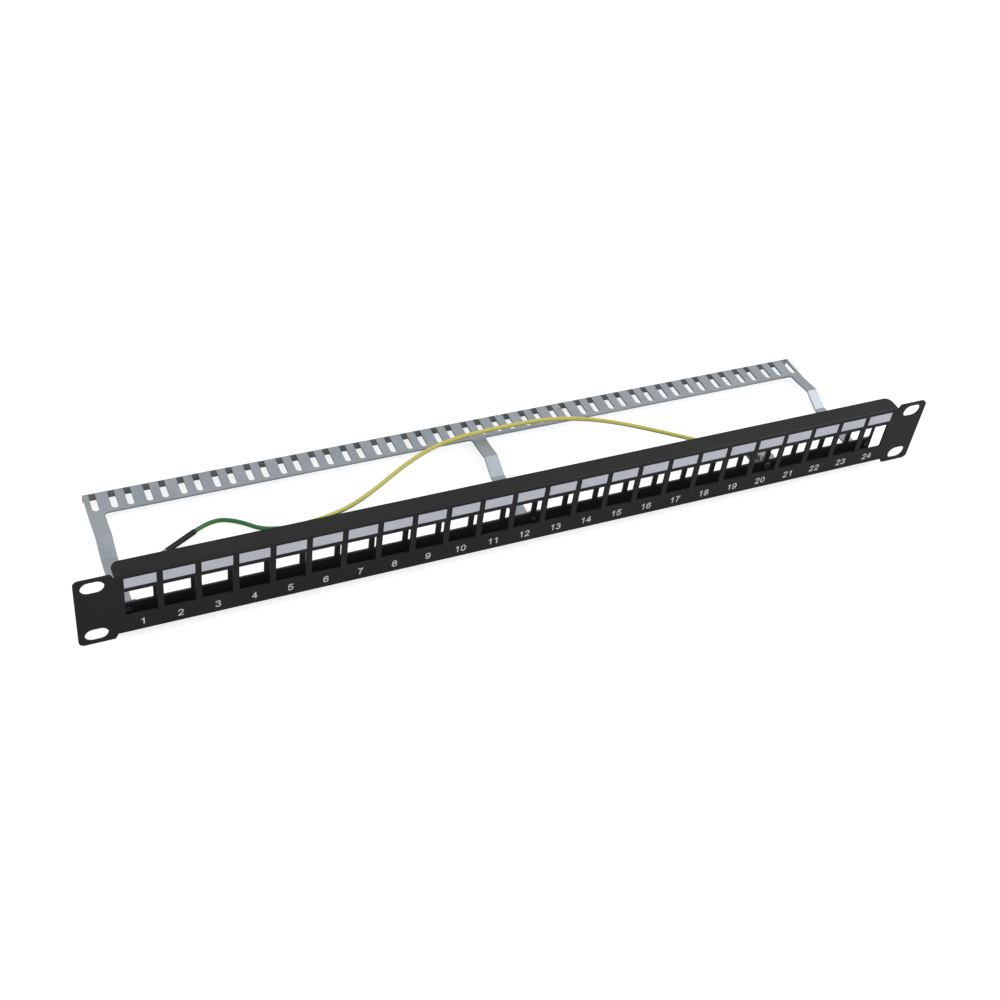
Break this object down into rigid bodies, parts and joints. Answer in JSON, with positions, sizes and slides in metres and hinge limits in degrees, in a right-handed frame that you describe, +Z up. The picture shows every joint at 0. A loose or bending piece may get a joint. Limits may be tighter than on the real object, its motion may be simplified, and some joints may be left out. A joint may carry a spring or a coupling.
{
  "type": "patch panel",
  "caption": "Black folded-steel rack patch panel with a row of keystone openings, label fields, a slotted rear cable bar on bent arms and a yellow-green earth wire.",
  "frame": {"origin": "centre of the rack slot pattern, on the rear face of the mounting ears", "axes": "+X along the panel to the right seen from the front, +Y to the rear, +Z up"},
  "size_m": [0.4826, 0.101, 0.0457],
  "materials": {
    "black_paint": "fine satin powder coat",
    "label_field": "satin write-on film",
    "zinc_plate": "bright zinc plating",
    "tinned_copper": "bright tin",
    "black_sleeve": "shrunk tube",
    "wire_cover": "satin PVC, yellow and green halves"
  },
  "bodies": {
    "panel": {"front_panel": "black_paint", "rear_frame": "black_paint", "cable_bar": "zinc_plate", "bar_screws": "zinc_plate", "earth_bracket": "zinc_plate", "earth_rivet": "zinc_plate", "earth_washer": "zinc_plate", "earth_screw": "zinc_plate", "earth_lug": "tinned_copper", "earth_sleeve": "black_sleeve", "earth_wire": "wire_cover", "free_sleeve": "black_sleeve", "free_lug": "tinned_copper", "label_01": "label_field", "label_02": "label_field", "label_03": "label_field", "label_04": "label_field", "label_05": "label_field", "label_06": "label_field", "label_07": "label_field", "label_08": "label_field", "label_09": "label_field", "label_10": "label_field", "label_11": "label_field", "label_12": "label_field", "label_13": "label_field", "label_14": "label_field", "label_15": "label_field", "label_16": "label_field", "label_17": "label_field", "label_18": "label_field", "label_19": "label_field", "label_20": "label_field", "label_21": "label_field", "label_22": "label_field", "label_23": "label_field", "label_24": "label_field"}
  },
  "joints": []
}
